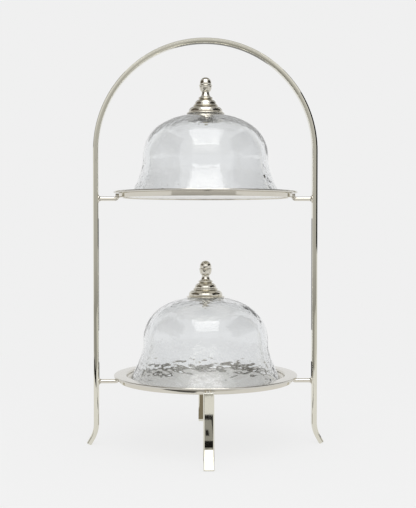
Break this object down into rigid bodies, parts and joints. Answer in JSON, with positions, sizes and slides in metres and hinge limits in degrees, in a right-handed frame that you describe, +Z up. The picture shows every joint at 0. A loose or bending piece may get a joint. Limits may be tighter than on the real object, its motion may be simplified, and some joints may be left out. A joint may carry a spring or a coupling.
{
  "type": "tiered cake stand",
  "caption": "Two-tier cake stand: flat-bar arch, support rings on pegs, drop-in spun plates with a flat rim, and a glass dome with a turned finial on each.",
  "frame": {"origin": "centre of the stand on the surface that its feet rest on", "axes": "+Z up through both domes' finials, the arch in the XZ plane, the front towards -Y"},
  "size_m": [0.2848, 0.2848, 0.4859],
  "materials": {
    "nickel": "polished nickel, hand buffed",
    "spun_nickel": "spun nickel, fine concentric lines",
    "glass": "clear hand-blown glass, faint ripple",
    "silicone": "clear to white soft washer",
    "steel": "plain machined steel"
  },
  "bodies": {
    "root": {"arch_frame": "nickel", "front_leg": "nickel", "back_leg": "nickel", "upper_ring": "nickel", "lower_ring": "nickel", "upper_left_peg": "nickel", "upper_right_peg": "nickel", "lower_left_peg": "nickel", "lower_right_peg": "nickel", "lower_front_peg": "nickel", "lower_back_peg": "nickel"},
    "upper_plate_body": {"upper_plate": "spun_nickel"},
    "lower_plate_body": {"lower_plate": "spun_nickel"},
    "upper_dome_body": {"upper_dome": "glass", "upper_finial_base": "nickel", "upper_finial_knob": "nickel", "upper_finial_gasket": "silicone", "upper_inner_gasket": "silicone", "upper_washer": "steel", "upper_stud": "steel", "upper_cap_nut": "nickel"},
    "lower_dome_body": {"lower_dome": "glass", "lower_finial_base": "nickel", "lower_finial_knob": "nickel", "lower_finial_gasket": "silicone", "lower_inner_gasket": "silicone", "lower_washer": "steel", "lower_stud": "steel", "lower_cap_nut": "nickel"}
  },
  "joints": [
    {"name": "upper_plate_lift", "type": "slide", "parent": "root", "child": "upper_plate_body", "axis": [0, 0, 1], "range_m": [0, 0.012]},
    {"name": "upper_dome_lift", "type": "slide", "parent": "upper_plate_body", "child": "upper_dome_body", "axis": [0, 0, 1], "range_m": [0, 0.022]},
    {"name": "lower_plate_lift", "type": "slide", "parent": "root", "child": "lower_plate_body", "axis": [0, 0, 1], "range_m": [0, 0.015]},
    {"name": "lower_dome_lift", "type": "slide", "parent": "lower_plate_body", "child": "lower_dome_body", "axis": [0, 0, 1], "range_m": [0, 0.048]}
  ]
}
